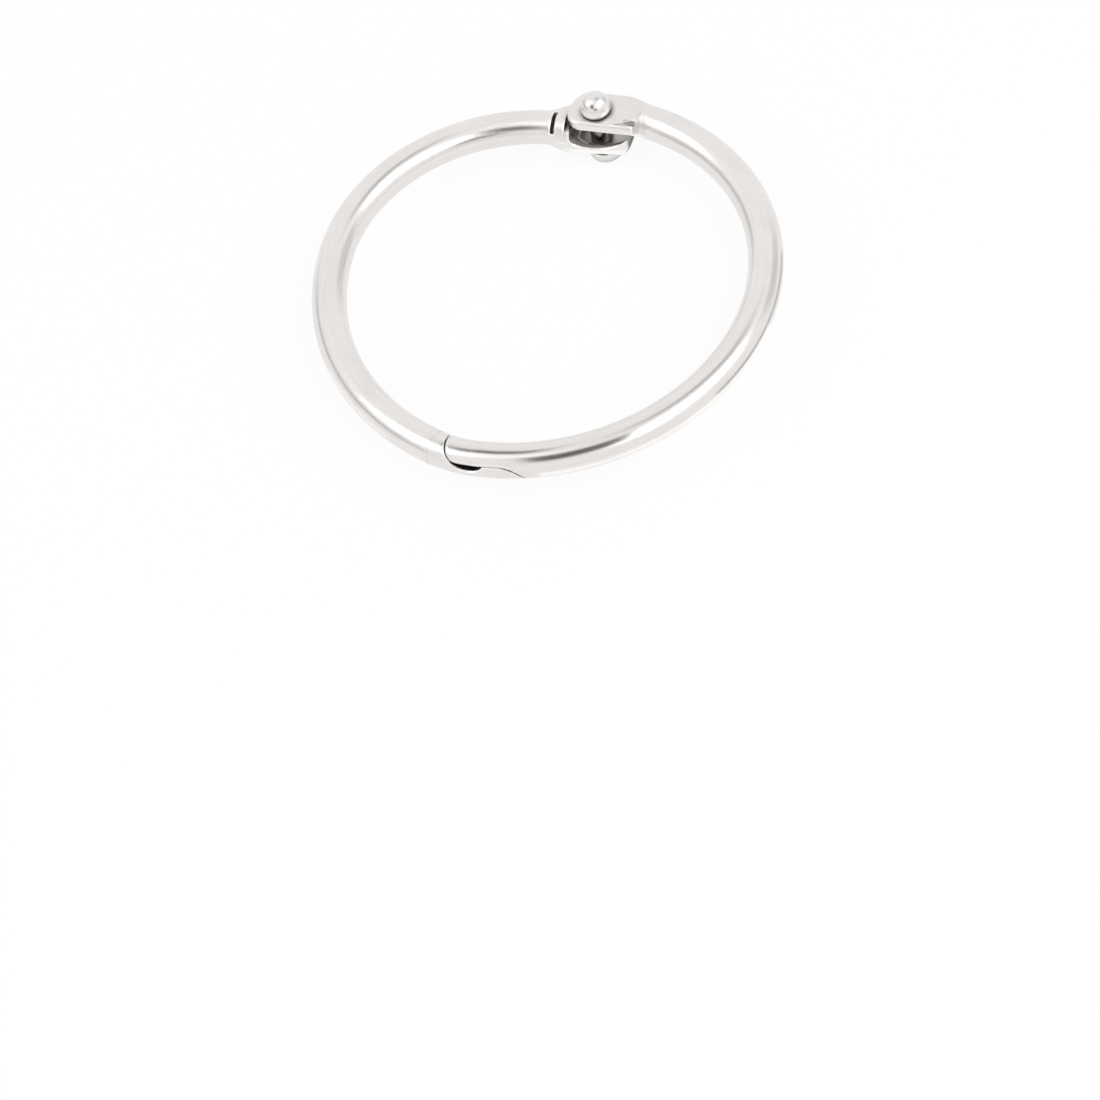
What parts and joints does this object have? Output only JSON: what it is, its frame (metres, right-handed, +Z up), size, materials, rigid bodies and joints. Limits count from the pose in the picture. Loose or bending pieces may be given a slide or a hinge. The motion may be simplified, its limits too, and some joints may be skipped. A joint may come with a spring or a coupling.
{
  "type": "binder ring",
  "caption": "Hinged loose-leaf ring: two bent-bar arms on a rivet, closed by a hooked tongue and hood.",
  "frame": {"origin": "middle of the ring's opening, halfway up the bar", "axes": "+Z up along the rivet, through the opening; +Y towards the hinge; +X towards the eye arm"},
  "size_m": [0.0507, 0.0509, 0.009],
  "materials": {
    "ear_arm": "satin nickel plate",
    "eye_arm": "satin nickel plate",
    "rivet": "polished nickel plate"
  },
  "bodies": {
    "ear_side": {"ear_arm": "ear_arm", "rivet": "rivet"},
    "eye_side": {"eye_arm": "eye_arm"}
  },
  "joints": [
    {"name": "ring_hinge", "type": "hinge", "parent": "ear_side", "child": "eye_side", "pos_m": [0.0004, 0.0223, 0.0018], "axis": [0, 0, 1], "range_deg": [0, 90]}
  ]
}
